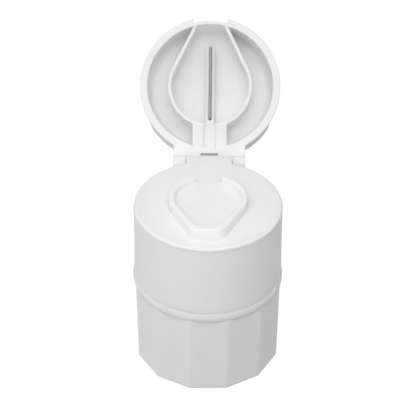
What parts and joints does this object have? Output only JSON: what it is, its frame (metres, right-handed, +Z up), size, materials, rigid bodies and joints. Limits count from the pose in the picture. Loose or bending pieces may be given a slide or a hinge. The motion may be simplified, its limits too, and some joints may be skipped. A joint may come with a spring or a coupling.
{
  "type": "pill crusher",
  "caption": "Hand-held pill crusher and splitter: a hollow barrel screws down into a faceted cup to grind, and a hinged lid with a blade halves a pill on the raised seat.",
  "frame": {"origin": "centre of the cup's underside, on the surface the crusher stands on", "axes": "+Z up along the cup's and barrel's axis; -Y is the front; +Y is towards the hinge and the open lid; X runs along the hinge pin"},
  "size_m": [0.048, 0.0968, 0.0858],
  "materials": {
    "cup_plastic": "moulded, satin",
    "barrel_plastic": "moulded, satin",
    "deck_plastic": "moulded, satin",
    "lid_plastic": "moulded, satin",
    "head_plastic": "moulded, satin",
    "holder_plastic": "moulded, satin",
    "seal_rubber": "moulded silicone, matte",
    "blade_steel": "ground, with a polished bevel",
    "pin_steel": "drawn wire"
  },
  "bodies": {
    "cup": {"cup": "cup_plastic"},
    "seal": {"seal_ring": "seal_rubber"},
    "barrel": {"barrel": "barrel_plastic", "crusher_head": "head_plastic"},
    "deck": {"deck": "deck_plastic"},
    "lid": {"lid": "lid_plastic", "blade_holder": "holder_plastic", "blade": "blade_steel", "hinge_pin": "pin_steel"}
  },
  "joints": [
    {"name": "screw_lift", "type": "slide", "parent": "cup", "child": "seal", "axis": [0, 0, 1], "range_m": [0, 0.01201]},
    {"name": "screw_turn", "type": "hinge", "parent": "seal", "child": "barrel", "pos_m": [0, 0, 0.02], "axis": [0, 0, 1], "range_deg": [0, 1080]},
    {"name": "deck_lift", "type": "slide", "parent": "barrel", "child": "deck", "axis": [0, 0, 1], "range_m": [0, 0.012]},
    {"name": "lid_hinge", "type": "hinge", "parent": "deck", "child": "lid", "pos_m": [0, 0.0271, 0.0538], "axis": [1, 0, 0], "range_deg": [0, 135]}
  ],
  "couplings": [
    {"joint": "screw_lift", "follows": "screw_turn", "m_per_rad": 0.00063662}
  ]
}
